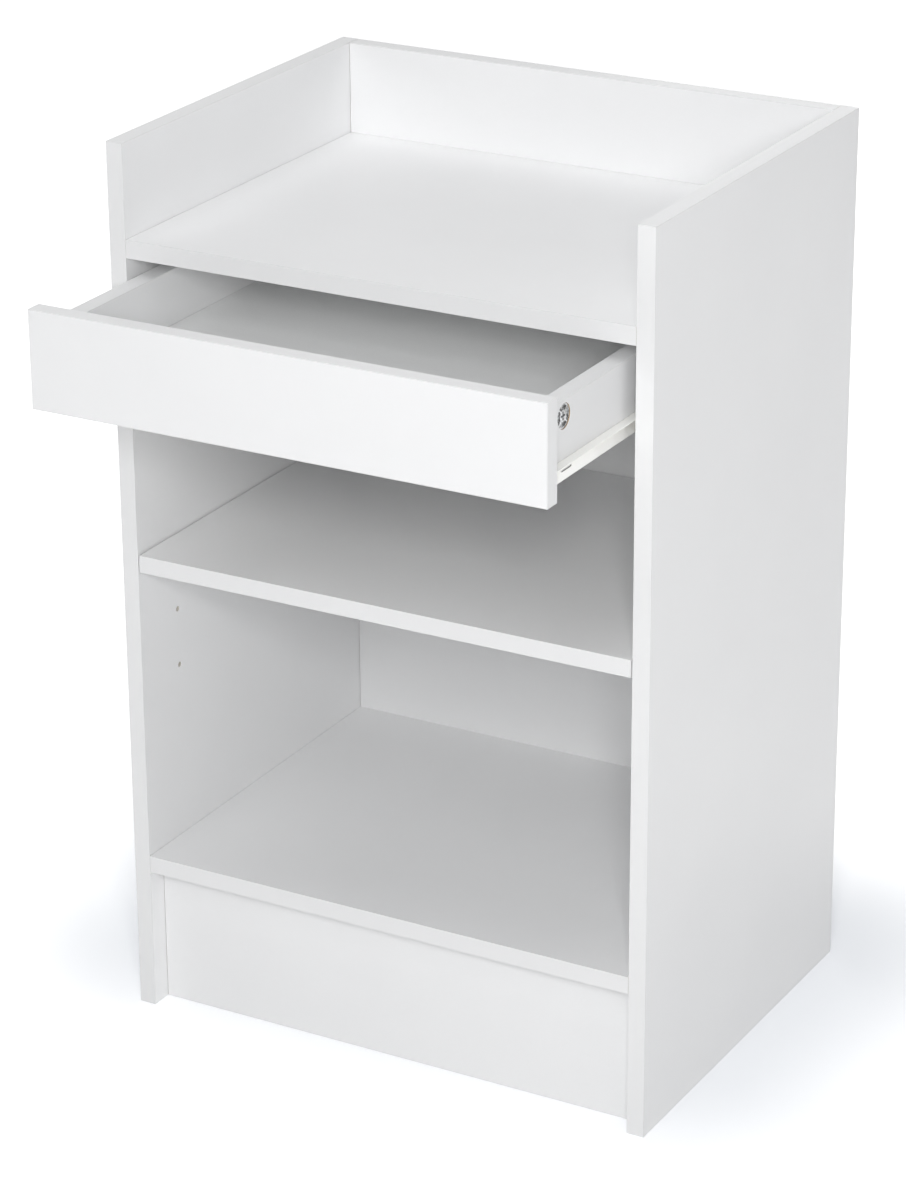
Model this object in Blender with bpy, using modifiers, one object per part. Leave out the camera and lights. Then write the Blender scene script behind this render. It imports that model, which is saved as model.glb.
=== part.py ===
"""Counter-height stand for a cash register: a well on top, a drawer on roller slides, a shelf and a base.

All sizes are in metres. X runs across the front, -Y faces the cashier and +Z is up. The origin is on the
floor, in the middle of the box that holds the stand with its drawer partly open.
"""

import math

import bmesh
import bpy
from mathutils import Matrix, Vector

# Cabinet boards
WIDTH = 0.610
DEPTH = 0.462
HEIGHT = 0.965
PANEL = 0.019
WELL_DEPTH = 0.100
BASE_HEIGHT = 0.179
KICK_SETBACK = 0.025
JOINT_GAP = 0.0003

# Shelf and the pin holes that carry it
PIN_TOP_HOLE = 0.503
PIN_PITCH = 0.064
PIN_HOLES = 3
PIN_SETBACK = 0.071
PIN_RADIUS = 0.0027
PIN_REACH = 0.010
PIN_DEPTH = 0.009
PIN_COLLAR_RADIUS = 0.0045
PIN_COLLAR = 0.0012
SHELF_END_GAP = 0.0015

# Drawer
DRAWER_OPEN = 0.174
FRONT_HEIGHT = 0.103
FRONT_SIDE_GAP = 0.0015
FRONT_TOP_GAP = 0.002
DRAWER_SIDE_HEIGHT = 0.076
DRAWER_SIDE_DROP = 0.015
DRAWER_REAR_SPACE = 0.024
DRAWER_BOTTOM = 0.004
DRAWER_BOTTOM_RISE = 0.014
GROOVE_DEPTH = 0.006

# Roller slides
SLIDE_SPACE = 0.0127
SHEET = 0.0012
RUNNER_HEIGHT = 0.0195
RUNNER_FOOT = 0.012
RUNNER_SETBACK = 0.002
FLANGE_CLEARANCE = 0.001
RIDE_GAP = 0.0003
ROLLER_CLEARANCE = 0.0008
ROLLER_END_PLAY = 0.0005
ROLLER_EDGE = 0.0008
ROLLER_INSET = 0.012
RIVET_RADIUS = 0.002
RIVET_FIT = 0.00015
RIVET_HEAD_RADIUS = 0.0035
RIVET_HEAD = 0.0008
STOP_SETBACK = 0.066
STOP_HEIGHT = 0.005
LIP_CUTBACK = 0.045
SLOT_START = 0.0265
SLOT_LENGTH = 0.020
SLOT_HEIGHT = 0.005
FRONT_SLOT_HEIGHT = 0.002

# Cam fittings and dowels
CAM_RADIUS = 0.0125
CAM_PAST_BOLT = 0.003
CAM_REACH = 0.034
CAM_EDGE = 0.0035
CAM_RECESS = 0.001
CAM_RIM = 0.0016
CAM_HUB_RADIUS = 0.006
CAM_RIBS = 4
CAM_RIB_WIDTH = 0.0016
CAM_POCKET_DEPTH = 0.002
CAM_CROSS_LENGTH = 0.0085
CAM_CROSS_WIDTH = 0.0018
CAM_CROSS_DEPTH = 0.003
BOLT_THREAD_RADIUS = 0.0025
BOLT_THREAD_LENGTH = 0.0105
BOLT_SHAFT_RADIUS = 0.0033
BOLT_NECK_RADIUS = 0.002
BOLT_NECK_LENGTH = 0.006
BOLT_HEAD_LENGTH = 0.004
BOLT_TIP_SHORT = 0.001
FITTING_SETBACK = 0.060
DOWEL_RADIUS = 0.004
DOWEL_IN_SIDE = 0.012
DOWEL_IN_EDGE = 0.018
DOWEL_CHAMFER = 0.001
BACK_DOWEL_SPREAD = 0.090

# Facets of round shapes, how far a cutter stands out of what it cuts, and when points count as one
FINE = 24
COARSE = 12
CAM_POCKET_STEPS = 4
OVERCUT = 0.002
WELD = 0.00001
SHARP_ANGLE = math.radians(40)

# Places that follow from the sizes
FRONT_Y = -(DEPTH - DRAWER_OPEN) / 2
BACK_Y = FRONT_Y + DEPTH
BACK_FACE_Y = BACK_Y - PANEL
INNER_X = WIDTH / 2 - PANEL
DECK_Z = HEIGHT - WELL_DEPTH
SHELF_Z = PIN_TOP_HOLE + PIN_RADIUS + JOINT_GAP
CAM_DEPTH = PANEL / 2 + CAM_PAST_BOLT
DRAWER_X = INNER_X - SLIDE_SPACE
DRAWER_INNER_X = DRAWER_X - PANEL
FRONT_X = INNER_X - FRONT_SIDE_GAP
FRONT_TOP_Z = DECK_Z - PANEL - FRONT_TOP_GAP
SIDE_TOP_Z = FRONT_TOP_Z - DRAWER_SIDE_DROP
SIDE_LOW_Z = SIDE_TOP_Z - DRAWER_SIDE_HEIGHT
BOTTOM_LOW_Z = SIDE_LOW_Z + DRAWER_BOTTOM_RISE
BOTTOM_TOP_Z = BOTTOM_LOW_Z + DRAWER_BOTTOM
DRAWER_LENGTH = DEPTH - 2 * PANEL - DRAWER_REAR_SPACE
FRONT_FACE_Y = FRONT_Y - DRAWER_OPEN
BOX_Y = FRONT_FACE_Y + PANEL
BOX_END_Y = BOX_Y + DRAWER_LENGTH
RUNNER_LOW_Z = SIDE_LOW_Z - JOINT_GAP - SHEET
RUNNER_TOP_Z = RUNNER_LOW_Z + RUNNER_HEIGHT
RUNNER_Y = FRONT_Y + PANEL + RUNNER_SETBACK
SLIDE_GAP = SLIDE_SPACE - 2 * (JOINT_GAP + SHEET)
FLANGE_REACH = SLIDE_GAP - FLANGE_CLEARANCE
ROLLER_RADIUS = (RUNNER_HEIGHT - 2 * SHEET - RIDE_GAP - ROLLER_CLEARANCE) / 2
ROLLER_WIDTH = FLANGE_REACH - 2 * ROLLER_END_PLAY - RIVET_HEAD
FRONT_ROLLER_Y = RUNNER_Y + ROLLER_INSET
FRONT_ROLLER_Z = RUNNER_TOP_Z - SHEET - RIDE_GAP - ROLLER_RADIUS
REAR_ROLLER_Y = BOX_END_Y - ROLLER_INSET
REAR_ROLLER_Z = RUNNER_LOW_Z + SHEET + RIDE_GAP + ROLLER_RADIUS

X = Vector((1, 0, 0))
Y = Vector((0, 1, 0))
Z = Vector((0, 0, 1))
SIDES = (("left", -1), ("right", 1))


def clear_scene():
    for obj in list(bpy.data.objects):
        bpy.data.objects.remove(obj)


def new_collection(name):
    collection = bpy.data.collections.new(name)
    bpy.context.scene.collection.children.link(collection)
    return collection


def new_material(name, colour, roughness, metallic=0.0):
    material = bpy.data.materials.new(name)
    material.use_nodes = True
    shader = material.node_tree.nodes["Principled BSDF"]
    shader.inputs["Base Color"].default_value = (*colour, 1.0)
    shader.inputs["Roughness"].default_value = roughness
    shader.inputs["Metallic"].default_value = metallic
    return material


clear_scene()
PARTS = new_collection("cash_register_stand")
CUTTERS = new_collection("cutters")
CUTTERS.hide_render = True

MELAMINE = new_material("white_melamine_board", (0.80, 0.80, 0.81), 0.38)
DRAWER_FLOOR = new_material("white_hardboard", (0.78, 0.78, 0.78), 0.6)
COATED_STEEL = new_material("white_coated_steel", (0.84, 0.83, 0.78), 0.35)
NYLON = new_material("white_nylon", (0.78, 0.78, 0.75), 0.45)
ZINC = new_material("zinc_alloy", (0.62, 0.63, 0.66), 0.32, 1.0)
STEEL = new_material("plated_steel", (0.66, 0.66, 0.68), 0.28, 1.0)
BEECH = new_material("beech_dowel", (0.62, 0.42, 0.24), 0.7)


# Mesh and object helpers


def mesh_of(bm, name):
    mesh = bpy.data.meshes.new(name)
    bm.to_mesh(mesh)
    bm.free()
    return mesh


def box_mesh(name, size):
    bm = bmesh.new()
    bmesh.ops.create_cube(bm, size=1.0)
    bmesh.ops.scale(bm, vec=size, verts=bm.verts)
    return mesh_of(bm, name)


def add_rod(bm, radius, length, segments, matrix=None):
    """A closed cylinder about Z, centred on the matrix's place."""
    bmesh.ops.create_cone(
        bm,
        cap_ends=True,
        segments=segments,
        radius1=radius,
        radius2=radius,
        depth=length,
        matrix=matrix or Matrix(),
    )


def rod_mesh(name, radius, length, segments):
    bm = bmesh.new()
    add_rod(bm, radius, length, segments)
    return mesh_of(bm, name)


def smooth(mesh):
    mesh.shade_smooth()
    mesh.set_sharp_from_angle(angle=SHARP_ANGLE)
    return mesh


def add_part(name, mesh, material, location, rotation=None):
    obj = bpy.data.objects.new(name, mesh)
    obj.location = location
    if rotation:
        obj.rotation_euler = rotation.to_euler()
    if not mesh.materials:
        mesh.materials.append(material)
    PARTS.objects.link(obj)
    return obj


def add_cutter(name, mesh, location, rotation=None):
    obj = bpy.data.objects.new(name, mesh)
    obj.location = location
    if rotation:
        obj.rotation_euler = rotation.to_euler()
    obj.hide_render = True
    obj.display_type = "WIRE"
    CUTTERS.objects.link(obj)
    return obj


def boolean(obj, tool, operation="DIFFERENCE"):
    modifier = obj.modifiers.new(tool.name, "BOOLEAN")
    modifier.operation = operation
    modifier.object = tool
    modifier.solver = "EXACT"


def baked_mesh(obj, name):
    """The object's mesh with its modifiers and its place applied; the object itself is removed."""
    bpy.context.view_layer.update()
    graph = bpy.context.evaluated_depsgraph_get()
    mesh = bpy.data.meshes.new_from_object(obj.evaluated_get(graph))
    mesh.transform(obj.matrix_world)
    mesh.name = name
    bpy.data.objects.remove(obj)
    return mesh


def turned_mesh(name, profile, segments):
    """A solid of revolution about Z; the profile's (radius, height) points run down its outer side."""
    mesh = bpy.data.meshes.new(name)
    closed = profile[0][0] > 0
    count = len(profile)
    edges = [(i, (i + 1) % count) for i in range(count if closed else count - 1)]
    mesh.from_pydata([(radius, 0, height) for radius, height in profile], edges, [])
    obj = bpy.data.objects.new(name, mesh)
    PARTS.objects.link(obj)
    screw = obj.modifiers.new("turn", "SCREW")
    screw.angle = 2 * math.pi
    screw.steps = segments
    screw.render_steps = segments
    screw.use_merge_vertices = True
    screw.merge_threshold = WELD
    return smooth(baked_mesh(obj, name))


def facing(direction):
    """The rotation that takes Z to the given direction."""
    return Vector(direction).to_track_quat("Z", "Y")


def board(name, low, high, material=None):
    low = Vector(low)
    high = Vector(high)
    return add_part(name, box_mesh(name, high - low), material or MELAMINE, (low + high) / 2)


def drill(obj, mouth, direction, radius, depth, segments=COARSE):
    """A blind round hole that starts at its mouth on the surface and runs in along direction."""
    direction = Vector(direction)
    length = depth + OVERCUT
    middle = Vector(mouth) + direction * (length / 2 - OVERCUT)
    name = f"{obj.name}_hole_{len(obj.modifiers)}"
    boolean(obj, add_cutter(name, rod_mesh(name, radius, length, segments), middle, facing(direction)))


def mill(obj, low, high):
    """A straight groove or notch: the box from low to high is cut away."""
    low = Vector(low)
    high = Vector(high)
    name = f"{obj.name}_cut_{len(obj.modifiers)}"
    boolean(obj, add_cutter(name, box_mesh(name, high - low), (low + high) / 2))


def slot_through(obj, start, end, radius, half_depth):
    """A slot with round ends, cut through along X between two points."""
    bm = bmesh.new()
    turn = facing(X).to_matrix().to_4x4()
    for point in (start, end):
        add_rod(bm, radius, 2 * half_depth, COARSE, Matrix.Translation(point) @ turn)
    hull = bmesh.ops.convex_hull(bm, input=bm.verts)
    spare = [item for item in hull["geom_interior"] if isinstance(item, bmesh.types.BMVert)]
    bmesh.ops.delete(bm, geom=spare, context="VERTS")
    hull_faces = {item for item in hull["geom"] if isinstance(item, bmesh.types.BMFace)}
    bmesh.ops.delete(bm, geom=[face for face in bm.faces if face not in hull_faces], context="FACES")
    bmesh.ops.recalc_face_normals(bm, faces=bm.faces)
    name = f"{obj.name}_slot_{len(obj.modifiers)}"
    boolean(obj, add_cutter(name, mesh_of(bm, name), (0, 0, 0)))


def extruded_mesh(name, outline, length):
    """A bar along Z with the given closed outline in X and Y."""
    curve = bpy.data.curves.new(name, "CURVE")
    curve.dimensions = "2D"
    curve.fill_mode = "BOTH"
    curve.extrude = length / 2
    spline = curve.splines.new("POLY")
    spline.points.add(len(outline) - 1)
    for point, (x, y) in zip(spline.points, outline):
        point.co = (x, y, 0, 1)
    spline.use_cyclic_u = True
    obj = bpy.data.objects.new(name, curve)
    PARTS.objects.link(obj)
    mesh = baked_mesh(obj, name)
    bm = bmesh.new()
    bm.from_mesh(mesh)
    bmesh.ops.remove_doubles(bm, verts=bm.verts, dist=WELD)
    bmesh.ops.recalc_face_normals(bm, faces=bm.faces)
    bm.to_mesh(mesh)
    bm.free()
    return mesh


def attach(child, parent):
    """Parents a child to an unturned empty without moving the child."""
    child.parent = parent
    child.location = child.location - parent.location


# Cabinet


def make_cabinet():
    boards = {}
    for side, sign in SIDES:
        near, far = sorted((sign * INNER_X, sign * WIDTH / 2))
        name = f"{side}_side_panel"
        boards[name] = board(name, (near, FRONT_Y, 0), (far, BACK_Y, HEIGHT))
    fit_x = INNER_X - JOINT_GAP
    fit_y = BACK_FACE_Y - JOINT_GAP
    boards["back_panel"] = board("back_panel", (-fit_x, BACK_FACE_Y, 0), (fit_x, BACK_Y, HEIGHT))
    for name, top in (("register_deck", DECK_Z), ("bottom_deck", BASE_HEIGHT)):
        boards[name] = board(name, (-fit_x, FRONT_Y, top - PANEL), (fit_x, fit_y, top))
    kick_y = FRONT_Y + KICK_SETBACK
    kick_top = BASE_HEIGHT - PANEL - JOINT_GAP
    boards["kick_plate"] = board("kick_plate", (-fit_x, kick_y, 0), (fit_x, kick_y + PANEL, kick_top))
    return boards


def make_shelf():
    end_x = INNER_X - SHELF_END_GAP
    low = (-end_x, FRONT_Y, SHELF_Z)
    return board("adjustable_shelf", low, (end_x, BACK_FACE_Y - SHELF_END_GAP, SHELF_Z + PANEL))


def make_shelf_pins(boards):
    """Pins in the top hole of each row, with the spare holes below them left open."""
    profile = [
        (0, PIN_REACH),
        (PIN_RADIUS, PIN_REACH),
        (PIN_RADIUS, PIN_COLLAR),
        (PIN_COLLAR_RADIUS, PIN_COLLAR),
        (PIN_COLLAR_RADIUS, JOINT_GAP),
        (PIN_RADIUS, JOINT_GAP),
        (PIN_RADIUS, -PIN_DEPTH),
        (0, -PIN_DEPTH),
    ]
    mesh = turned_mesh("shelf_pin", profile, COARSE)
    rows = (("front", FRONT_Y + PIN_SETBACK), ("rear", BACK_Y - PIN_SETBACK))
    hole_radius = PIN_RADIUS + JOINT_GAP
    hole_depth = PIN_DEPTH + JOINT_GAP
    for side, sign in SIDES:
        panel = boards[f"{side}_side_panel"]
        for row, y in rows:
            for step in range(PIN_HOLES):
                mouth = Vector((sign * INNER_X, y, PIN_TOP_HOLE - step * PIN_PITCH))
                drill(panel, mouth, sign * X, hole_radius, hole_depth)
            top = (sign * INNER_X, y, PIN_TOP_HOLE)
            add_part(f"shelf_pin_{row}_{side}", mesh, STEEL, top, facing(-sign * X))


# Cam fittings and dowels


def cam_pocket_outline(number):
    """The space between hub, rim and two ribs, as points round one pocket of the cam's face."""
    step = 2 * math.pi / CAM_RIBS
    points = []
    for radius, way in ((CAM_HUB_RADIUS, 1), (CAM_RADIUS - CAM_RIM, -1)):
        rib_angle = math.asin(CAM_RIB_WIDTH / 2 / radius)
        for share in range(CAM_POCKET_STEPS + 1)[::way]:
            swing = (step - 2 * rib_angle) * share / CAM_POCKET_STEPS
            angle = (number - 1 / 2) * step + rib_angle + swing
            points.append((radius * math.cos(angle), radius * math.sin(angle)))
    return points


def make_cam_mesh():
    """A round cam, its open face up: a hole for the bolt's head along +X, pockets and a cross recess."""
    height = CAM_DEPTH - CAM_RECESS
    blank = rod_mesh("cam", CAM_RADIUS, height, FINE)
    cam = add_part("cam_blank", blank, ZINC, (0, 0, -CAM_RECESS - height / 2))
    hole_radius = BOLT_SHAFT_RADIUS + JOINT_GAP
    hole = rod_mesh("cam_bolt_hole", hole_radius, CAM_RADIUS + BOLT_HEAD_LENGTH + OVERCUT, COARSE)
    hole_x = (CAM_RADIUS + OVERCUT - BOLT_HEAD_LENGTH) / 2
    tools = [add_cutter("cam_bolt_hole", hole, (hole_x, 0, -PANEL / 2), facing(X))]
    for name, length, width in (
        ("cam_cross_x", CAM_CROSS_LENGTH, CAM_CROSS_WIDTH),
        ("cam_cross_y", CAM_CROSS_WIDTH, CAM_CROSS_LENGTH),
    ):
        size = (length, width, 2 * CAM_CROSS_DEPTH)
        tools.append(add_cutter(name, box_mesh(name, size), (0, 0, -CAM_RECESS)))
    for number in range(CAM_RIBS):
        name = f"cam_pocket_{number}"
        pocket = extruded_mesh(name, cam_pocket_outline(number), 2 * CAM_POCKET_DEPTH)
        tools.append(add_cutter(name, pocket, (0, 0, -CAM_RECESS)))
    for tool in tools:
        boolean(cam, tool)
    mesh = smooth(baked_mesh(cam, "cam"))
    for tool in tools:
        bpy.data.objects.remove(tool)
    return mesh


def make_bolt_mesh():
    """A bolt along Z: its thread below zero, its head at the cam's middle above."""
    tip = CAM_REACH - BOLT_TIP_SHORT
    neck_top = tip - BOLT_HEAD_LENGTH
    neck_low = neck_top - BOLT_NECK_LENGTH
    profile = [
        (0, tip),
        (BOLT_SHAFT_RADIUS, tip),
        (BOLT_SHAFT_RADIUS, neck_top),
        (BOLT_NECK_RADIUS, neck_top),
        (BOLT_NECK_RADIUS, neck_low),
        (BOLT_SHAFT_RADIUS, neck_low),
        (BOLT_SHAFT_RADIUS, 2 * JOINT_GAP),
        (BOLT_THREAD_RADIUS, 2 * JOINT_GAP),
        (BOLT_THREAD_RADIUS, -BOLT_THREAD_LENGTH),
        (0, -BOLT_THREAD_LENGTH),
    ]
    return turned_mesh("cam_bolt", profile, COARSE)


CAM_MESH = make_cam_mesh()
BOLT_MESH = make_bolt_mesh()


def cam_joint(name, root, along, out, mate, carrier):
    """Clamps carrier's edge to mate's face at root; along runs into carrier, out is the cam's open side."""
    root = Vector(root)
    along = Vector(along)
    out = Vector(out)
    drill(mate, root, -along, BOLT_THREAD_RADIUS + JOINT_GAP, BOLT_THREAD_LENGTH + JOINT_GAP)
    drill(carrier, root, along, BOLT_SHAFT_RADIUS + JOINT_GAP, CAM_REACH)
    centre = root + along * CAM_REACH + out * PANEL / 2
    drill(carrier, centre, -out, CAM_RADIUS + JOINT_GAP, CAM_DEPTH + JOINT_GAP, FINE)
    turn = Matrix((-along, out.cross(-along), out)).transposed()
    cam = add_part(f"{name}_cam", CAM_MESH, ZINC, centre, turn)
    bolt = add_part(f"{name}_bolt", BOLT_MESH, ZINC, root, facing(along))
    return [cam, bolt]


def make_deck_fittings(boards):
    """Cams in the undersides of both decks, near the front and the rear of each end."""
    rows = (("front", FRONT_Y + FITTING_SETBACK), ("rear", BACK_FACE_Y - FITTING_SETBACK))
    for deck, top in (("register_deck", DECK_Z), ("bottom_deck", BASE_HEIGHT)):
        for side, sign in SIDES:
            for row, y in rows:
                root = (sign * INNER_X, y, top - PANEL / 2)
                panel = boards[f"{side}_side_panel"]
                cam_joint(f"{deck}_{row}_{side}", root, -sign * X, -Z, panel, boards[deck])


def make_dowels(boards):
    """Dowels that hold the ends of the back panel and the kick plate between the side panels."""
    profile = [
        (0, DOWEL_IN_EDGE),
        (DOWEL_RADIUS - DOWEL_CHAMFER, DOWEL_IN_EDGE),
        (DOWEL_RADIUS, DOWEL_IN_EDGE - DOWEL_CHAMFER),
        (DOWEL_RADIUS, DOWEL_CHAMFER - DOWEL_IN_SIDE),
        (DOWEL_RADIUS - DOWEL_CHAMFER, -DOWEL_IN_SIDE),
        (0, -DOWEL_IN_SIDE),
    ]
    mesh = turned_mesh("dowel", profile, COARSE)
    back_y = BACK_Y - PANEL / 2
    kick_y = FRONT_Y + KICK_SETBACK + PANEL / 2
    kick_z = (BASE_HEIGHT - PANEL) / 2
    places = (
        ("back_dowel_upper", "back_panel", back_y, HEIGHT - BACK_DOWEL_SPREAD),
        ("back_dowel_lower", "back_panel", back_y, BACK_DOWEL_SPREAD),
        ("kick_dowel", "kick_plate", kick_y, kick_z),
    )
    hole_radius = DOWEL_RADIUS + JOINT_GAP
    for side, sign in SIDES:
        panel = boards[f"{side}_side_panel"]
        for name, carrier, y, z in places:
            root = Vector((sign * INNER_X, y, z))
            drill(panel, root, sign * X, hole_radius, DOWEL_IN_SIDE + JOINT_GAP)
            drill(boards[carrier], root, -sign * X, hole_radius, DOWEL_IN_EDGE + 2 * JOINT_GAP)
            add_part(f"{name}_{side}", mesh, BEECH, root, facing(-sign * X))


# Drawer


def make_drawer():
    pieces = {}
    front_low = (-FRONT_X, FRONT_FACE_Y, FRONT_TOP_Z - FRONT_HEIGHT)
    pieces["drawer_front"] = board("drawer_front", front_low, (FRONT_X, BOX_Y, FRONT_TOP_Z))
    for side, sign in SIDES:
        near, far = sorted((sign * DRAWER_INNER_X, sign * DRAWER_X))
        name = f"drawer_{side}_side"
        pieces[name] = board(name, (near, BOX_Y + JOINT_GAP, SIDE_LOW_Z), (far, BOX_END_Y, SIDE_TOP_Z))
    fit_x = DRAWER_INNER_X - JOINT_GAP
    back_low = (-fit_x, BOX_END_Y - PANEL, BOTTOM_TOP_Z + JOINT_GAP)
    pieces["drawer_back"] = board("drawer_back", back_low, (fit_x, BOX_END_Y, SIDE_TOP_Z))
    floor_x = DRAWER_INNER_X + GROOVE_DEPTH - 2 * JOINT_GAP
    floor_low = (-floor_x, BOX_Y - GROOVE_DEPTH + 2 * JOINT_GAP, BOTTOM_LOW_Z)
    floor_high = (floor_x, BOX_END_Y, BOTTOM_TOP_Z)
    pieces["drawer_bottom"] = board("drawer_bottom", floor_low, floor_high, DRAWER_FLOOR)
    return pieces


def cut_drawer_grooves(pieces):
    """Grooves in the front and the sides that the drawer's bottom slides into from behind."""
    low_z = BOTTOM_LOW_Z - JOINT_GAP
    high_z = BOTTOM_TOP_Z + JOINT_GAP
    groove_x = DRAWER_INNER_X + GROOVE_DEPTH
    front_low = (-groove_x, BOX_Y - GROOVE_DEPTH, low_z)
    mill(pieces["drawer_front"], front_low, (groove_x, BOX_Y + OVERCUT, high_z))
    for side, sign in SIDES:
        near, far = sorted((sign * (DRAWER_INNER_X - OVERCUT), sign * groove_x))
        side_low = (near, BOX_Y - OVERCUT, low_z)
        mill(pieces[f"drawer_{side}_side"], side_low, (far, BOX_END_Y + OVERCUT, high_z))


def make_drawer_fittings(pieces):
    """Cams in the sides' outer faces pull on the front; cams in the back's rear face pull on the sides."""
    made = []
    side_x = DRAWER_X - PANEL / 2
    cam_z = SIDE_TOP_Z - CAM_RADIUS - CAM_EDGE
    back_z = (BOTTOM_TOP_Z + SIDE_TOP_Z) / 2
    for side, sign in SIDES:
        board_side = pieces[f"drawer_{side}_side"]
        root = (sign * side_x, BOX_Y, cam_z)
        made += cam_joint(f"drawer_front_{side}", root, Y, sign * X, pieces["drawer_front"], board_side)
        root = (sign * DRAWER_INNER_X, BOX_END_Y - PANEL / 2, back_z)
        made += cam_joint(f"drawer_back_{side}", root, -sign * X, Y, board_side, pieces["drawer_back"])
    return made


# Roller slides


def runner_bar(name, sign, face_x, outline, start_y, length):
    """A sheet-steel bar along Y; outline points are (distance off face_x, height), for either hand."""
    points = [(face_x + sign * away, height) for away, height in outline]
    mesh = extruded_mesh(name, points, length)
    upright = Matrix.Rotation(math.pi / 2, 3, "X")
    return add_part(name, mesh, COATED_STEEL, (0, start_y + length / 2, 0), upright)


def make_cabinet_runner(side, sign):
    """A channel on the side panel; its lip is cut back in front so that the drawer can be lifted in."""
    name = f"{side}_cabinet_runner"
    face = JOINT_GAP + SHEET
    reach = face + FLANGE_REACH
    lip_z = RUNNER_TOP_Z + FLANGE_CLEARANCE
    outline = [
        (JOINT_GAP, RUNNER_LOW_Z),
        (reach, RUNNER_LOW_Z),
        (reach, RUNNER_LOW_Z + SHEET),
        (face, RUNNER_LOW_Z + SHEET),
        (face, lip_z),
        (reach, lip_z),
        (reach, lip_z + SHEET),
        (JOINT_GAP, lip_z + SHEET),
    ]
    runner = runner_bar(name, -sign, sign * INNER_X, outline, RUNNER_Y, DRAWER_LENGTH)
    near, far = sorted((sign * (INNER_X - face), sign * (INNER_X - reach - OVERCUT)))
    lip_low = (near, RUNNER_Y - OVERCUT, lip_z - OVERCUT)
    mill(runner, lip_low, (far, RUNNER_Y + LIP_CUTBACK, lip_z + SHEET + OVERCUT))
    closed_y = REAR_ROLLER_Y + DRAWER_OPEN
    stops = (FRONT_ROLLER_Y + STOP_SETBACK - SHEET, closed_y + ROLLER_RADIUS + JOINT_GAP)
    for number, y in enumerate(stops):
        add_stop(runner, sign, y, number)
    axle = (sign * (INNER_X - face), FRONT_ROLLER_Y, FRONT_ROLLER_Z)
    drill(runner, axle, sign * X, RIVET_RADIUS + RIVET_FIT, SHEET + OVERCUT)
    rear_slot = RUNNER_Y + DRAWER_LENGTH - LIP_CUTBACK
    for start in (RUNNER_Y + LIP_CUTBACK, rear_slot):
        slot_runner(runner, sign * (INNER_X - face), start, SLOT_HEIGHT)
    return runner


def add_stop(runner, sign, y, number):
    """A tab across the channel's floor that the rear roller runs up against."""
    overlap = SHEET / 2
    inner_x = INNER_X - JOINT_GAP - overlap
    outer_x = INNER_X - JOINT_GAP - SHEET - FLANGE_REACH
    near, far = sorted((sign * inner_x, sign * outer_x))
    low = Vector((near, y, RUNNER_LOW_Z + overlap))
    high = Vector((far, y + SHEET, RUNNER_LOW_Z + SHEET + STOP_HEIGHT))
    name = f"{runner.name}_stop_{number}"
    tab = add_cutter(name, box_mesh(name, high - low), (low + high) / 2)
    boolean(runner, tab, "UNION")


def make_drawer_runner(side, sign):
    """An angle under the drawer's side, with a flange on top that rides on the cabinet's front roller."""
    name = f"{side}_drawer_runner"
    near = JOINT_GAP
    far = JOINT_GAP + SHEET
    outline = [
        (near - RUNNER_FOOT, RUNNER_LOW_Z),
        (far, RUNNER_LOW_Z),
        (far, RUNNER_TOP_Z - SHEET),
        (far + FLANGE_REACH, RUNNER_TOP_Z - SHEET),
        (far + FLANGE_REACH, RUNNER_TOP_Z),
        (near, RUNNER_TOP_Z),
        (near, RUNNER_LOW_Z + SHEET),
        (near - RUNNER_FOOT, RUNNER_LOW_Z + SHEET),
    ]
    start = BOX_Y + JOINT_GAP
    runner = runner_bar(name, sign, sign * DRAWER_X, outline, start, DRAWER_LENGTH - JOINT_GAP)
    axle = (sign * (DRAWER_X + far), REAR_ROLLER_Y, REAR_ROLLER_Z)
    drill(runner, axle, -sign * X, RIVET_RADIUS + RIVET_FIT, SHEET + OVERCUT)
    rear_slot = BOX_END_Y - ROLLER_INSET - ROLLER_RADIUS - SLOT_START - SLOT_LENGTH
    slot_runner(runner, sign * (DRAWER_X + far), BOX_Y + SLOT_START, FRONT_SLOT_HEIGHT)
    slot_runner(runner, sign * (DRAWER_X + far), rear_slot, SLOT_HEIGHT)
    return runner


def slot_runner(runner, face_x, start, height):
    """A screw slot through the runner's web, at its middle height."""
    radius = height / 2
    z = (RUNNER_LOW_Z + RUNNER_TOP_Z) / 2
    first = Vector((face_x, start + radius, z))
    last = Vector((face_x, start + SLOT_LENGTH - radius, z))
    slot_through(runner, first, last, radius, SHEET + OVERCUT)


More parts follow.
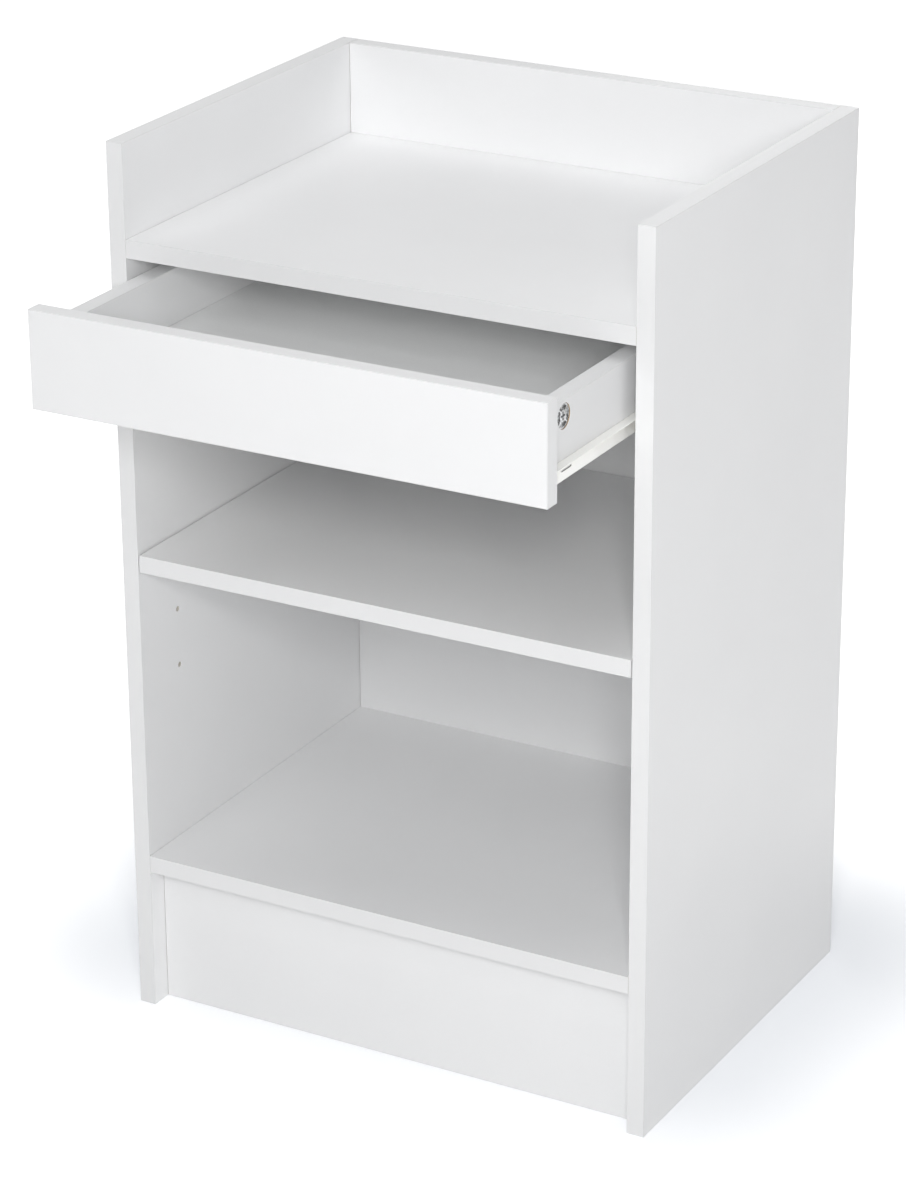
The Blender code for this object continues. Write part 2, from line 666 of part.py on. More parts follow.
def make_rollers(side, sign):
    """A roller on a rivet at the front of the cabinet's runner and at the rear of the drawer's runner."""
    bore = RIVET_RADIUS + RIVET_FIT
    half = ROLLER_WIDTH / 2
    rim = ROLLER_RADIUS - ROLLER_EDGE
    roller_profile = [
        (bore, half),
        (rim, half),
        (ROLLER_RADIUS, half - ROLLER_EDGE),
        (ROLLER_RADIUS, ROLLER_EDGE - half),
        (rim, -half),
        (bore, -half),
    ]
    roller_mesh = turned_mesh(f"{side}_roller", roller_profile, FINE)
    head_low = ROLLER_WIDTH + 2 * ROLLER_END_PLAY
    rivet_profile = [
        (0, head_low + RIVET_HEAD),
        (RIVET_HEAD_RADIUS, head_low + RIVET_HEAD),
        (RIVET_HEAD_RADIUS, head_low),
        (RIVET_RADIUS, head_low),
        (RIVET_RADIUS, -SHEET),
        (0, -SHEET),
    ]
    rivet_mesh = turned_mesh(f"{side}_rivet", rivet_profile, COARSE)
    web = JOINT_GAP + SHEET
    places = (
        ("front", INNER_X - web, -sign, FRONT_ROLLER_Y, FRONT_ROLLER_Z),
        ("rear", DRAWER_X + web, sign, REAR_ROLLER_Y, REAR_ROLLER_Z),
    )
    made = {}
    for end, face, way, y, z in places:
        root = Vector((sign * face, y, z))
        middle = root + way * X * (ROLLER_END_PLAY + half)
        turn = facing(way * X)
        made[f"{end}_roller"] = add_part(f"{side}_{end}_roller", roller_mesh, NYLON, middle, turn)
        made[f"{end}_rivet"] = add_part(f"{side}_{end}_rivet", rivet_mesh, STEEL, root, turn)
    return made


def main():
    boards = make_cabinet()
    make_shelf()
    make_shelf_pins(boards)
    make_deck_fittings(boards)
    make_dowels(boards)
    pieces = make_drawer()
    cut_drawer_grooves(pieces)
    sliding = list(pieces.values()) + make_drawer_fittings(pieces)
    for side, sign in SIDES:
        make_cabinet_runner(side, sign)
        sliding.append(make_drawer_runner(side, sign))
        rolling = make_rollers(side, sign)
        sliding += [rolling["rear_roller"], rolling["rear_rivet"]]
    travel = bpy.data.objects.new("drawer_travel", None)
    travel.location = (0, FRONT_FACE_Y, (SIDE_LOW_Z + SIDE_TOP_Z) / 2)
    PARTS.objects.link(travel)
    for obj in sliding:
        attach(obj, travel)


main()
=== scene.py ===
import math

import bmesh
import bpy
from mathutils import Matrix, Vector


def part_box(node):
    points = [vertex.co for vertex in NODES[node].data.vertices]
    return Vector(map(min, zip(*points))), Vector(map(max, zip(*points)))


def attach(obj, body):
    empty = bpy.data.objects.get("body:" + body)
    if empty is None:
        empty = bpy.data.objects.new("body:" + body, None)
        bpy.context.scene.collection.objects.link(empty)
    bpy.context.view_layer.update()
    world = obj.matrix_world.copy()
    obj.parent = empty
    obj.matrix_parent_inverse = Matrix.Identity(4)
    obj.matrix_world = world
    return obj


# Cash register stand in white melamine board: finishes, small fittings, studio light and camera.
# Lengths are in metres. A noise is given as its scale and detail, a bump as its strength and height,
# and a roughness as its lowest and highest value.

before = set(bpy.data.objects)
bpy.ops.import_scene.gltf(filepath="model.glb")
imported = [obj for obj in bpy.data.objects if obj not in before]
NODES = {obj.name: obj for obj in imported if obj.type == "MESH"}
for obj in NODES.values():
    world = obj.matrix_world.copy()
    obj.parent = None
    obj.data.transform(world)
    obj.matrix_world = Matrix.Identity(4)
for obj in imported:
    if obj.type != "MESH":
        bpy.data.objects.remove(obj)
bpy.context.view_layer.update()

SIDES = (("left", -1), ("right", 1))
ENDS = ("front", "rear")
AXES = "xyz"
BOX_SIDES = ("-x", "+x", "-y", "+y", "-z", "+z")

# Camera, fitted to the corners of the boards and the drawer
CAMERA_AT = (1.8519, -3.2808, 2.0509)
CAMERA_TURN = (67.35, 0.35, 29.214)
CAMERA_LENS = 118.45
CAMERA_SENSOR = 36.0

# Blender's own places for the colours of a mix node, and the middle part of a noise that is spread out
MIX_COLOURS_IN = (6, 7)
MIX_COLOUR_OUT = 2
NOISE_MIDDLE = (0.3, 0.7)
RAMP_MIDDLE = 0.5
FULL = (0.0, 1.0)

# Melamine board
BAND = 0.0008
SEAM = 0.0003
FACE_PAPER = 0.0004
FACING = 0.7
WHITE_LOW = (0.872, 0.874, 0.878)
WHITE_HIGH = (0.888, 0.890, 0.893)
WHITE_FLECK = (0.850, 0.853, 0.860)
WHITE_BAND = (0.835, 0.837, 0.840)
CLOUD = (7, 3)
FLECK = (500, 2)
FLECK_SHARE = (0.0, 0.2)
SEAM_COLOUR = (0.52, 0.51, 0.49)
SEAM_SHARE = 0.3
SATIN = (16, 2)
SATIN_ROUGHNESS = (0.32, 0.36)
BAND_SMOOTHER = 0.03
PEBBLE = (420, 2)
PEBBLE_BUMP = (0.035, 0.0002)
CABINET_TONE = 1.0
# The drawer box's boards are painted a shade darker than the cabinet's, standing in for the shade on the
# drawer's sides
DRAWER_BOX_SHADE_TONE = 0.93

# Particle board under the melamine
BROWN_CHIPS = ((0.17, 0.095, 0.045), (0.42, 0.27, 0.14), (0.63, 0.47, 0.29))
PALE_CHIPS = ((0.50, 0.46, 0.40), (0.64, 0.60, 0.54), (0.74, 0.71, 0.66))
CHIP = (420, 4)
CHIP_SHARE = 0.6
DUST = (1500, 2)
DUST_SHARE = 0.4
CORE_GRAIN = (700, 3)
CORE_ROUGHNESS = 0.85

# Hardboard of the drawer's bottom; the pressed mesh turns through so many radians in a metre
FIBRE = (1300, 3)
PAPER = ((0.88, 0.888, 0.886), (0.92, 0.926, 0.922), (0.94, 0.945, 0.941))
PRIMER_GRAIN = (600, 5)
PRIMER = ((0.82, 0.82, 0.81), (0.88, 0.88, 0.87))
PAPER_SHEEN = (30, 3)
PAPER_ROUGHNESS = (0.48, 0.62)
PRESSED_TURN = 2900.0
PRESSED_DEPTH = 0.6
PAPER_BUMP = (0.25, 0.0002)

# Coated steel of the runners
# Painted shade: the slot walls near the runner's middle height get a dark colour that stands in for the
# shadow in the slots
SLOT_SHADE_REACH = 0.003
SLOT_PAINTED_SHADE = (0.30, 0.29, 0.27)
PAINT_CLOUD = (60, 3)
PAINT = ((0.955, 0.948, 0.905), (0.968, 0.963, 0.928))
PAINT_SHEEN = (45, 2)
PAINT_ROUGHNESS = (0.29, 0.33)
PAINT_COAT = 1.0
PAINT_COAT_ROUGHNESS = 0.12
PAINT_COAT_IOR = 1.8
PAINT_SWELL = (45, 1)
PAINT_BUMP = (0.03, 0.0004)

# Nylon of the rollers
NYLON_CLOUD = (300, 2)
NYLON_TINTS = ((0.74, 0.73, 0.68), (0.82, 0.815, 0.78))
NYLON_SHEEN = (500, 3)
NYLON_ROUGHNESS = (0.36, 0.48)
NYLON_TRANSLUCENCE = 0.15
NYLON_DEPTH = 0.002
NYLON_GRAIN = (1500, 2)
NYLON_BUMP = (0.08, 0.0001)

# Zinc of the cams and bolts
ZINC_MOTTLE = (350, 4)
ZINC_TINTS = ((0.20, 0.19, 0.175), (0.44, 0.445, 0.45), (0.72, 0.73, 0.75))
ZINC_SHEEN = (800, 3)
ZINC_ROUGHNESS = (0.20, 0.42)
ZINC_GRAIN = (900, 4)
ZINC_BUMP = (0.22, 0.0002)

# Plated steel of the rivets, pins and screws; the noise is drawn out round the pieces
TURNING_STRETCH = (5200, 240, 240)
TURNING = (1.0, 3)
PLATED_TINTS = ((0.58, 0.57, 0.56), (0.74, 0.73, 0.71))
PLATED_ROUGHNESS = (0.18, 0.34)
PLATED_BUMP = (0.08, 0.0001)

# Beech of the dowels; the noise is drawn out along them
GRAIN_STRETCH = (25, 700, 700)
GRAIN = (1.0, 5)
BEECH_TINTS = ((0.42, 0.25, 0.13), (0.62, 0.42, 0.24), (0.72, 0.53, 0.34))
BEECH_SHEEN = (90, 2)
BEECH_ROUGHNESS = (0.55, 0.72)
BEECH_BUMP = (0.3, 0.0002)

# Rounded edges
EDGE_ROUND = 0.0005
FINE_ROUND = 0.0003
FACET_ROUND = 0.0005
FACET_ANGLE = math.radians(10)
SHARP_ANGLE = math.radians(35)
FLAT_ANGLE = math.radians(1)
ROUND_STEPS = 2
WELD = 0.00001

# Runner screws
SHEET = 0.0012
JOINT_GAP = 0.0003
SCREW_HEAD_RADIUS = 0.0042
SCREW_HEAD = 0.0005
SCREW_RIM = 0.4 * SCREW_HEAD
SCREW_CROWN_RADIUS = 0.55 * SCREW_HEAD_RADIUS
SCREW_SHANK_RADIUS = 0.0020
SCREW_SHANK = 0.0013
SCREW_CROSS = 0.0044
SCREW_CROSS_WIDTH = 0.0009
SCREW_CROSS_DEPTH = 0.0009
SCREW_STEPS = 36
CABINET_SCREWS_IN = (0.055, 0.365)
DRAWER_SCREW_IN = 0.3432

# Floor and surrounding light
FLOOR_SIZE = 40.0
FLOOR_COLOUR = (0.92, 0.92, 0.92, 1.0)
# The floor's glow seen by the camera is weaker and bluish near the base, which paints a shade round the
# stand beside its lamp shadow; the shaded zone is set a little to the left and kept off the front strip
FLOOR_LIFT_PAINTED_SHADE = (0.11, 0.125, 0.15)
FLOOR_LIFT_FAR = (0.82, 0.82, 0.82)
FLOOR_NEAR = 0.04
FLOOR_FAR = 0.45
FLOOR_FRONT_IN = 0.15
FLOOR_SHIFT = -0.025
AMBIENT = (0.24, 0.243, 0.248, 1.0)
BACKGROUND = (1.0, 1.0, 1.0, 1.0)

# Softboxes about the stand's middle: turn from the front towards the right and rise, in degrees,
# then distance, width, height and watts
LIT_MIDDLE = (0.0, 0.0, 0.55)
LAMPS = {
    "front_softbox": (0, 45, 3.4, 2.6, 1.0, 13),
    "camera_softbox": (29.4, 24, 3.5, 0.6, 0.8, 52),
    "right_softbox": (75, 4, 3.4, 2.8, 0.9, 10),
    "top_softbox": (0, 84, 2.6, 2.0, 2.0, 19),
    "left_softbox": (268, 6, 3.4, 2.8, 1.0, 25),
    "rear_softbox": (180, 8, 3.4, 3.0, 1.0, 32),
}

# Banded and bare sides of each board
BOARD_SIDES = {
    "left_side_panel": (("-y", "+y", "+z"), ("-z",)),
    "right_side_panel": (("-y", "+y", "+z"), ("-z",)),
    "back_panel": (("+z",), ("-z", "-x", "+x")),
    "register_deck": (("-y",), ("-x", "+x", "+y")),
    "adjustable_shelf": (("-y", "+y", "-x", "+x"), ()),
    "bottom_deck": (("-y",), ("-x", "+x", "+y")),
    "kick_plate": ((), ("-z", "-x", "+x")),
    "drawer_front": (("-x", "+x", "-z", "+z"), ()),
    "drawer_left_side": (("+z",), ("-z", "-y", "+y")),
    "drawer_right_side": (("+z",), ("-z", "-y", "+y")),
    "drawer_back": (("+z",), ("-z", "-x", "+x")),
}


# Materials


class Graph:
    """A material and short calls for its shader nodes; places are read in the object's own space."""

    def __init__(self, name):
        self.material = bpy.data.materials.new(name)
        self.material.use_nodes = True
        self.tree = self.material.node_tree
        self.shader = self.tree.nodes["Principled BSDF"]
        self.place = self.add("ShaderNodeTexCoord").outputs["Object"]

    def add(self, kind, **settings):
        node = self.tree.nodes.new(kind)
        for key, value in settings.items():
            setattr(node, key, value)
        return node

    def feed(self, socket, value):
        if isinstance(value, bpy.types.NodeSocket):
            self.tree.links.new(value, socket)
        else:
            socket.default_value = value

    def math(self, operation, first, second=0.0, third=0.0):
        node = self.add("ShaderNodeMath", operation=operation)
        for socket, value in zip(node.inputs, (first, second, third)):
            self.feed(socket, value)
        return node.outputs[0]

    def product(self, first, second):
        return self.math("MULTIPLY", first, second)

    def apart(self, vector):
        """The three parts of a vector."""
        node = self.add("ShaderNodeSeparateXYZ")
        self.feed(node.inputs[0], vector)
        return node.outputs

    def stretched(self, scale):
        node = self.add("ShaderNodeMapping")
        self.feed(node.inputs["Vector"], self.place)
        node.inputs["Scale"].default_value = scale
        return node.outputs["Vector"]

    def noise(self, scale, detail, place=None):
        node = self.add("ShaderNodeTexNoise")
        self.feed(node.inputs["Vector"], place or self.place)
        node.inputs["Scale"].default_value = scale
        node.inputs["Detail"].default_value = detail
        return node.outputs["Fac"]

    def spread(self, value, low, high):
        """The middle of a noise spread out between two numbers."""
        node = self.add("ShaderNodeMapRange")
        self.feed(node.inputs["Value"], value)
        node.inputs["From Min"].default_value, node.inputs["From Max"].default_value = NOISE_MIDDLE
        node.inputs["To Min"].default_value = low
        node.inputs["To Max"].default_value = high
        return node.outputs["Result"]

    def mix(self, share, first, second):
        node = self.add("ShaderNodeMix", data_type="RGBA")
        self.feed(node.inputs[0], share)
        for number, value in zip(MIX_COLOURS_IN, (first, second)):
            colour = value if isinstance(value, bpy.types.NodeSocket) else (*value, 1.0)
            self.feed(node.inputs[number], colour)
        return node.outputs[MIX_COLOUR_OUT]

    def tones(self, value, *colours):
        """Runs through the colours in order as the value goes from 0 to 1."""
        node = self.add("ShaderNodeValToRGB")
        self.feed(node.inputs["Fac"], value)
        ramp = node.color_ramp
        while len(ramp.elements) < len(colours):
            ramp.elements.new(RAMP_MIDDLE)
        for number, colour in enumerate(colours):
            ramp.elements[number].position = number / (len(colours) - 1)
            ramp.elements[number].color = (*colour, 1.0)
        return node.outputs["Color"]

    def bump(self, height, strength, distance):
        node = self.add("ShaderNodeBump")
        self.feed(node.inputs["Height"], height)
        node.inputs["Strength"].default_value = strength
        node.inputs["Distance"].default_value = distance
        self.feed(self.shader.inputs["Normal"], node.outputs["Normal"])

    def set(self, name, value):
        socket = self.shader.inputs[name]
        if isinstance(value, tuple):
            value = (*value, 1.0)
        self.feed(socket, value)


def shade(colour, tone):
    return tuple(part * tone for part in colour)


def chip_colour(g, chips):
    """Bare particle board: pale and dark wood chips."""
    coarse = g.product(g.noise(*CHIP), CHIP_SHARE)
    fine = g.product(g.noise(*DUST), DUST_SHARE)
    return g.tones(g.spread(g.math("ADD", coarse, fine), *FULL), *chips)


def from_side(g, place, low, high, side):
    """How far inside one face of the board's box a point lies; side is a sign and an axis, such as -y."""
    axis = AXES.index(side[1])
    if side[0] == "-":
        return g.math("SUBTRACT", place[axis], low[axis])
    return g.math("SUBTRACT", high[axis], place[axis])


def facing(g, side):
    """1 where the surface faces a side, given as a sign and an axis."""
    normal = g.apart(g.add("ShaderNodeNewGeometry").outputs["Normal"])
    sign = -1.0 if side[0] == "-" else 1.0
    return g.math("GREATER_THAN", g.product(normal[AXES.index(side[1])], sign), FACING)


def melamine(node, banded, bare, tone, chips):
    """White melamine on one board: banded edges, bare edges, and the chip core inside holes and grooves."""
    low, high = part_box(node)
    g = Graph(f"{node}_melamine")
    place = g.apart(g.place)
    depth = {side: from_side(g, place, low, high, side) for side in BOX_SIDES}
    least = depth[BOX_SIDES[0]]
    for side in BOX_SIDES[1:]:
        least = g.math("MINIMUM", least, depth[side])
    core = g.math("GREATER_THAN", least, FACE_PAPER)
    for side in bare:
        end = g.product(g.math("LESS_THAN", depth[side], FACE_PAPER), facing(g, side))
        core = g.math("MAXIMUM", core, end)
    band = 0.0
    seam = 0.0
    for side in banded:
        band = g.math("MAXIMUM", band, g.math("LESS_THAN", depth[side], BAND))
        seam = g.math("MAXIMUM", seam, g.math("COMPARE", depth[side], BAND, SEAM / 2))
    off_band = g.math("SUBTRACT", 1.0, band)
    cloud = g.spread(g.noise(*CLOUD), *FULL)
    fleck = g.product(g.spread(g.noise(*FLECK), *FLECK_SHARE), off_band)
    white = g.mix(cloud, shade(WHITE_LOW, tone), shade(WHITE_HIGH, tone))
    white = g.mix(fleck, white, shade(WHITE_FLECK, tone))
    white = g.mix(band, white, shade(WHITE_BAND, tone))
    white = g.mix(g.product(seam, SEAM_SHARE), white, SEAM_COLOUR)
    g.set("Base Color", g.mix(core, white, chip_colour(g, chips)))
    satin = g.spread(g.noise(*SATIN), *SATIN_ROUGHNESS)
    satin = g.math("SUBTRACT", satin, g.product(band, BAND_SMOOTHER))
    g.set("Roughness", g.math("MAXIMUM", satin, g.product(core, CORE_ROUGHNESS)))
    pebble = g.product(g.noise(*PEBBLE), off_band)
    pebble = g.math("ADD", pebble, g.product(core, g.noise(*CORE_GRAIN)))
    g.bump(pebble, *PEBBLE_BUMP)
    return g.material


def hardboard(node):
    """The drawer's bottom: white paper on top, white primer on the pressed mesh below."""
    low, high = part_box(node)
    g = Graph(f"{node}_hardboard")
    place = g.apart(g.place)
    below = g.math("LESS_THAN", place[AXES.index("z")], (low.z + high.z) / 2)
    paper = g.tones(g.spread(g.noise(*FIBRE), *FULL), *PAPER)
    primer = g.tones(g.spread(g.noise(*PRIMER_GRAIN), *FULL), *PRIMER)
    g.set("Base Color", g.mix(below, paper, primer))
    g.set("Roughness", g.spread(g.noise(*PAPER_SHEEN), *PAPER_ROUGHNESS))
    wires = [g.math("SINE", g.product(place[AXES.index(axis)], PRESSED_TURN)) for axis in "xy"]
    mesh = g.product(g.math("MAXIMUM", *wires), g.product(below, PRESSED_DEPTH))
    g.bump(g.math("ADD", mesh, g.noise(*FIBRE)), *PAPER_BUMP)
    return g.material


def coated_steel(node):
    """Coated sheet steel, warm white and gently uneven, with a dark shade painted on the slot walls for the
    shadow in the slots.
    """
    low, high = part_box(node)
    g = Graph(f"{node}_coated_steel")
    z = g.apart(g.place)[AXES.index("z")]
    level = g.math("COMPARE", z, (low.z + high.z) / 2, SLOT_SHADE_REACH)
    on_web = g.math("MAXIMUM", facing(g, "-x"), facing(g, "+x"))
    # Painted shade: faces near the middle height that do not face along X, that is the slot walls, are
    # coloured dark like the shadow in the slots
    painted_slot_shade = g.product(level, g.math("SUBTRACT", 1.0, on_web))
    paint = g.mix(g.spread(g.noise(*PAINT_CLOUD), *FULL), *PAINT)
    g.set("Base Color", g.mix(painted_slot_shade, paint, SLOT_PAINTED_SHADE))
    g.set("Roughness", g.spread(g.noise(*PAINT_SHEEN), *PAINT_ROUGHNESS))
    g.set("Coat Weight", PAINT_COAT)
    g.set("Coat Roughness", PAINT_COAT_ROUGHNESS)
    g.set("Coat IOR", PAINT_COAT_IOR)
    g.bump(g.noise(*PAINT_SWELL), *PAINT_BUMP)
    return g.material


def nylon():
    """Moulded nylon, slightly translucent."""
    g = Graph("white_nylon")
    g.set("Base Color", g.mix(g.spread(g.noise(*NYLON_CLOUD), *FULL), *NYLON_TINTS))
    g.set("Roughness", g.spread(g.noise(*NYLON_SHEEN), *NYLON_ROUGHNESS))
    g.set("Subsurface Weight", NYLON_TRANSLUCENCE)
    g.set("Subsurface Scale", NYLON_DEPTH)
    g.bump(g.noise(*NYLON_GRAIN), *NYLON_BUMP)
    return g.material


def die_cast_zinc():
    """Die-cast zinc with a mottled skin."""
    g = Graph("die_cast_zinc")
    g.set("Base Color", g.tones(g.spread(g.noise(*ZINC_MOTTLE), *FULL), *ZINC_TINTS))
    g.set("Roughness", g.spread(g.noise(*ZINC_SHEEN), *ZINC_ROUGHNESS))
    g.set("Metallic", 1.0)
    g.bump(g.noise(*ZINC_GRAIN), *ZINC_BUMP)
    return g.material


def plated_steel():
    """Nickel-plated steel with fine turning marks round the pieces."""
    g = Graph("plated_steel")
    marks = g.noise(*TURNING, g.stretched(TURNING_STRETCH))
    g.set("Base Color", g.mix(g.spread(marks, *FULL), *PLATED_TINTS))
    g.set("Roughness", g.spread(marks, *PLATED_ROUGHNESS))
    g.set("Metallic", 1.0)
    g.bump(marks, *PLATED_BUMP)
    return g.material


def beech():
    """Pale beech with grain along the dowels."""
    g = Graph("beech")
    grain = g.noise(*GRAIN, g.stretched(GRAIN_STRETCH))
    g.set("Base Color", g.tones(g.spread(grain, *FULL), *BEECH_TINTS))
    g.set("Roughness", g.spread(g.noise(*BEECH_SHEEN), *BEECH_ROUGHNESS))
    g.bump(grain, *BEECH_BUMP)
    return g.material


NYLON = nylon()
ZINC = die_cast_zinc()
STEEL = plated_steel()
BEECH = beech()


def dress(node, material):
    obj = NODES[node]
    obj.data.materials.clear()
    obj.data.materials.append(material)


def soften(node, width, angle):
    """Rounds a CAD node's sharp edges with modifiers alone."""
    obj = NODES[node]
    weld = obj.modifiers.new("weld", "WELD")
    weld.merge_threshold = WELD
    flat = obj.modifiers.new("flat", "DECIMATE")
    flat.decimate_type = "DISSOLVE"
    flat.angle_limit = FLAT_ANGLE
    edge = obj.modifiers.new("edge", "BEVEL")
    edge.width = width
    edge.segments = ROUND_STEPS
    edge.limit_method = "ANGLE"
    edge.angle_limit = angle
    edge.harden_normals = True


for node, (banded, bare) in BOARD_SIDES.items():
    in_drawer_box = node.startswith("drawer") and node != "drawer_front"
    # Drawer box boards get the darker painted shade and brown chips; the cabinet keeps full white and pale
    # chips
    if in_drawer_box:
        dress(node, melamine(node, banded, bare, DRAWER_BOX_SHADE_TONE, BROWN_CHIPS))
    else:
        dress(node, melamine(node, banded, bare, CABINET_TONE, PALE_CHIPS))
    soften(node, EDGE_ROUND, SHARP_ANGLE)
dress("drawer_bottom", hardboard("drawer_bottom"))
for node in NODES:
    if node.endswith("_runner"):
        dress(node, coated_steel(node))
        soften(node, FINE_ROUND, SHARP_ANGLE)
    elif node.endswith("_roller"):
        dress(node, NYLON)
        soften(node, FACET_ROUND, FACET_ANGLE)
    elif node.endswith(("_cam", "_bolt")):
        dress(node, ZINC)
        soften(node, FINE_ROUND, FACET_ANGLE)
    elif node.endswith("_rivet") or node.startswith("shelf_pin"):
        dress(node, STEEL)
        soften(node, FINE_ROUND, FACET_ANGLE)
    elif "_dowel" in node:
        dress(node, BEECH)


# Runner screws: low heads with a cross recess


def turned_mesh(name, profile, steps):
    """A closed solid turned about Z from pairs of radius and height, given from the bottom up."""
    bm = bmesh.new()
    turns = [math.tau * step / steps for step in range(steps)]
    rings = []
    for radius, height in profile:
        rings.append([bm.verts.new((radius * math.cos(a), radius * math.sin(a), height)) for a in turns])
    bm.faces.new(reversed(rings[0]))
    bm.faces.new(rings[-1])
    for lower, upper in zip(rings, rings[1:]):
        for step in range(steps):
            after = (step + 1) % steps
            bm.faces.new((lower[step], lower[after], upper[after], upper[step]))
    for face in bm.faces:
        face.smooth = True
    mesh = bpy.data.meshes.new(name)
    bm.to_mesh(mesh)
    bm.free()
    return mesh


def block_mesh(name, size, centre):
    bm = bmesh.new()
    bmesh.ops.create_cube(bm, size=1.0)
    bmesh.ops.scale(bm, vec=size, verts=bm.verts)
    bmesh.ops.translate(bm, vec=centre, verts=bm.verts)
    mesh = bpy.data.meshes.new(name)
    bm.to_mesh(mesh)
    bm.free()
    return mesh


def cut(mesh, cutters):
    """The mesh with each cutter mesh taken out of it."""
    body = bpy.data.objects.new("cut_body", mesh)
    tools = [bpy.data.objects.new("cut_tool", cutter) for cutter in cutters]
    for obj in [body, *tools]:
        bpy.context.scene.collection.objects.link(obj)
    for tool in tools:
        modifier = body.modifiers.new("cut", "BOOLEAN")
        modifier.object = tool
        modifier.operation = "DIFFERENCE"
    bpy.context.view_layer.update()
    made = bpy.data.meshes.new_from_object(body.evaluated_get(bpy.context.evaluated_depsgraph_get()))
    for obj in [body, *tools]:
        bpy.data.objects.remove(obj)
    return made


def make_screw_mesh():
    profile = (
        (SCREW_SHANK_RADIUS, -SCREW_SHANK),
        (SCREW_SHANK_RADIUS, 0.0),
        (SCREW_HEAD_RADIUS, 0.0),
        (SCREW_HEAD_RADIUS, SCREW_RIM),
        (SCREW_CROWN_RADIUS, SCREW_HEAD),
    )
    head = turned_mesh("runner_screw", profile, SCREW_STEPS)
    middle = (0.0, 0.0, SCREW_HEAD)
    deep = 2 * SCREW_CROSS_DEPTH
    arms = (
        block_mesh("cross_arm", (SCREW_CROSS, SCREW_CROSS_WIDTH, deep), middle),
        block_mesh("cross_arm", (SCREW_CROSS_WIDTH, SCREW_CROSS, deep), middle),
    )
    mesh = cut(head, arms)
    mesh.name = "runner_screw"
    mesh.materials.clear()
    mesh.materials.append(STEEL)
    return mesh


SCREW_MESH = make_screw_mesh()


def add_screw(name, body, place, towards):
    """A screw whose head faces along X, to the right for 1 and to the left for -1."""
    screw = bpy.data.objects.new(name, SCREW_MESH)
    screw.matrix_world = Matrix.Translation(place) @ Matrix.Rotation(towards * math.pi / 2, 4, "Y")
    bpy.context.scene.collection.objects.link(screw)
    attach(screw, body)


def outer_x(node):
    """How far a node reaches from the stand's middle plane."""
    low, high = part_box(node)
    return max(abs(low.x), abs(high.x))


for side, sign in SIDES:
    low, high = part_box(f"{side}_drawer_runner")
    slot_z = (low.z + high.z) / 2
    web = sign * (outer_x(f"drawer_{side}_side") + JOINT_GAP + SHEET)
    add_screw(f"{side}_drawer_runner_screw", "drawer", (web, low.y + DRAWER_SCREW_IN, slot_z), sign)
    web = sign * (outer_x(f"{side}_cabinet_runner") - SHEET)
    low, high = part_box(f"{side}_cabinet_runner")
    for end, inward in zip(ENDS, CABINET_SCREWS_IN):
        add_screw(f"{side}_cabinet_runner_screw_{end}", "cabinet", (web, low.y + inward, slot_z), -sign)


# Studio


def light_path_share(tree):
    """1 for what the camera sees directly, in a reflection or through glass."""
    path = tree.nodes.new("ShaderNodeLightPath")
    total = path.outputs["Is Camera Ray"]
    for name in ("Is Glossy Ray", "Is Transmission Ray"):
        add = tree.nodes.new("ShaderNodeMath")
        add.operation = "ADD"
        add.use_clamp = True
        tree.links.new(total, add.inputs[0])
        tree.links.new(path.outputs[name], add.inputs[1])
        total = add.outputs[0]
    return total


def off_footprint(g):
    """How far a floor point lies outside the base, set a little to the left and without its front strip;
    this shapes the painted shade round the base.
    """
    low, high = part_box("left_side_panel")
    half_width = -low.x
    front_y = low.y + FLOOR_FRONT_IN
    middle_y = (front_y + high.y) / 2
    x, y = g.apart(g.place)[:2]
    across = g.math("SUBTRACT", g.math("ABSOLUTE", g.math("SUBTRACT", x, FLOOR_SHIFT)), half_width)
    along = g.math("SUBTRACT", g.math("ABSOLUTE", g.math("SUBTRACT", y, middle_y)), high.y - middle_y)
    beyond = [g.math("MAXIMUM", reach, 0.0) for reach in (across, along)]
    squares = [g.product(reach, reach) for reach in beyond]
    return g.math("SQRT", g.math("ADD", *squares))


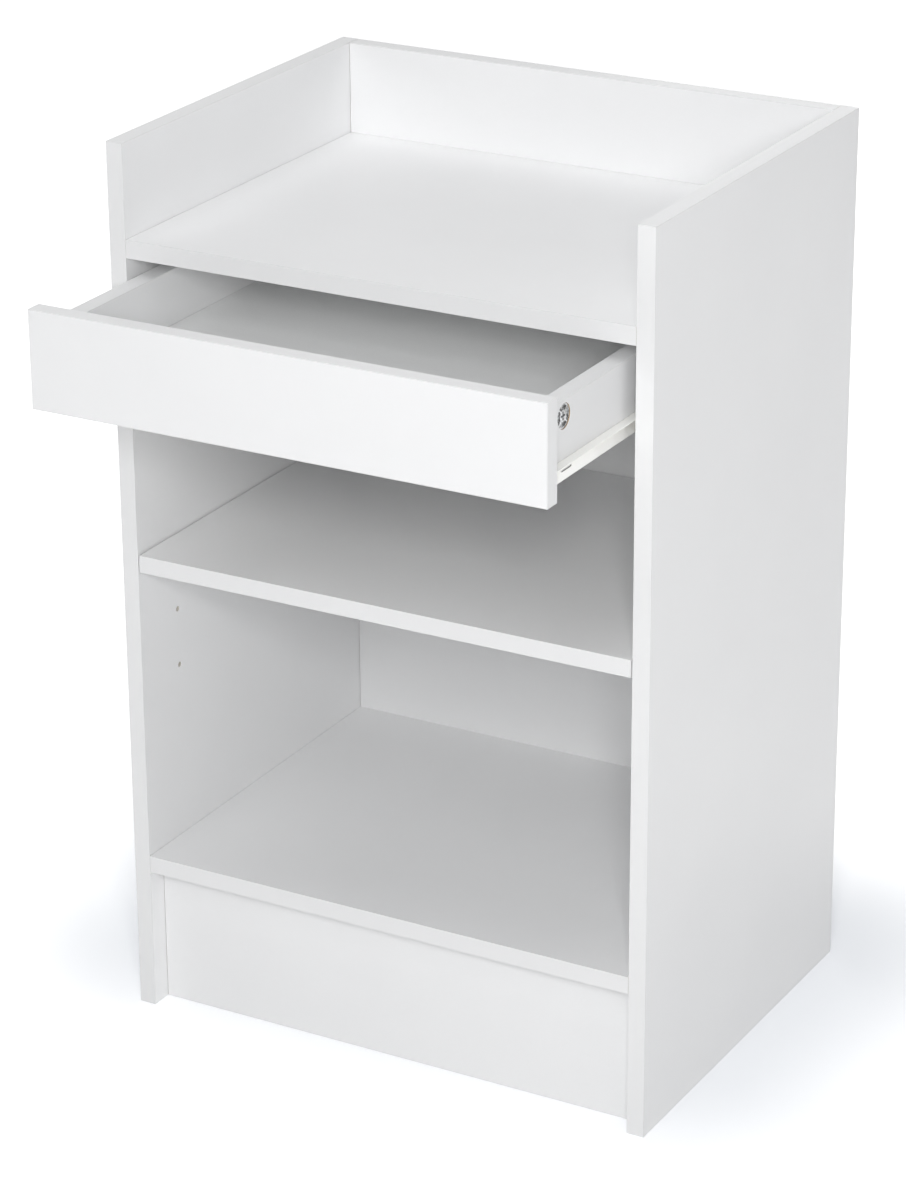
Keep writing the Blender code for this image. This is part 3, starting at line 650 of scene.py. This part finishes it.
def make_floor():
    """A pale floor that keeps the lamps' shadow near the stand, with a weaker bluish glow there that paints
    a shade round the base, and turns white further off.
    """
    mesh = bpy.data.meshes.new("floor")
    bm = bmesh.new()
    bmesh.ops.create_grid(bm, x_segments=1, y_segments=1, size=FLOOR_SIZE / 2)
    bm.to_mesh(mesh)
    bm.free()
    floor = bpy.data.objects.new("floor", mesh)
    bpy.context.scene.collection.objects.link(floor)
    g = Graph("studio_floor")
    diffuse = g.add("ShaderNodeBsdfDiffuse")
    diffuse.inputs["Color"].default_value = FLOOR_COLOUR
    far = g.add("ShaderNodeMapRange", interpolation_type="SMOOTHSTEP")
    g.feed(far.inputs["Value"], off_footprint(g))
    far.inputs["From Min"].default_value = FLOOR_NEAR
    far.inputs["From Max"].default_value = FLOOR_FAR
    lift = g.add("ShaderNodeEmission")
    # Painted shade: the lift is weak and bluish near the base and full white further off
    g.feed(lift.inputs["Color"], g.mix(far.outputs["Result"], FLOOR_LIFT_PAINTED_SHADE, FLOOR_LIFT_FAR))
    g.feed(lift.inputs["Strength"], light_path_share(g.tree))
    both = g.add("ShaderNodeAddShader")
    g.feed(both.inputs[0], diffuse.outputs[0])
    g.feed(both.inputs[1], lift.outputs[0])
    out = g.tree.nodes["Material Output"]
    g.feed(out.inputs["Surface"], both.outputs[0])
    g.tree.nodes.remove(g.shader)
    mesh.materials.append(g.material)


def make_world():
    """A dim even light from all round, seen as white."""
    world = bpy.data.worlds.new("studio")
    bpy.context.scene.world = world
    world.use_nodes = True
    tree = world.node_tree
    tree.nodes.clear()
    ambient = tree.nodes.new("ShaderNodeBackground")
    ambient.inputs["Color"].default_value = AMBIENT
    white = tree.nodes.new("ShaderNodeBackground")
    white.inputs["Color"].default_value = BACKGROUND
    choose = tree.nodes.new("ShaderNodeMixShader")
    out = tree.nodes.new("ShaderNodeOutputWorld")
    tree.links.new(light_path_share(tree), choose.inputs["Fac"])
    tree.links.new(ambient.outputs[0], choose.inputs[1])
    tree.links.new(white.outputs[0], choose.inputs[2])
    tree.links.new(choose.outputs[0], out.inputs["Surface"])


def softbox(name, turn, rise, distance, width, height, power):
    turn = math.radians(turn)
    rise = math.radians(rise)
    away = Vector((math.sin(turn) * math.cos(rise), -math.cos(turn) * math.cos(rise), math.sin(rise)))
    data = bpy.data.lights.new(name, "AREA")
    data.shape = "RECTANGLE"
    data.size = width
    data.size_y = height
    data.energy = power
    lamp = bpy.data.objects.new(name, data)
    lamp.location = Vector(LIT_MIDDLE) + distance * away
    lamp.rotation_euler = away.to_track_quat("Z", "Y").to_euler()
    bpy.context.scene.collection.objects.link(lamp)


def make_camera():
    data = bpy.data.cameras.new("camera")
    data.lens = CAMERA_LENS
    data.sensor_width = CAMERA_SENSOR
    camera = bpy.data.objects.new("camera", data)
    camera.location = CAMERA_AT
    camera.rotation_euler = [math.radians(angle) for angle in CAMERA_TURN]
    bpy.context.scene.collection.objects.link(camera)
    bpy.context.scene.camera = camera


make_floor()
make_world()
for name, setting in LAMPS.items():
    softbox(name, *setting)
make_camera()
bpy.context.scene.view_settings.view_transform = "Standard"
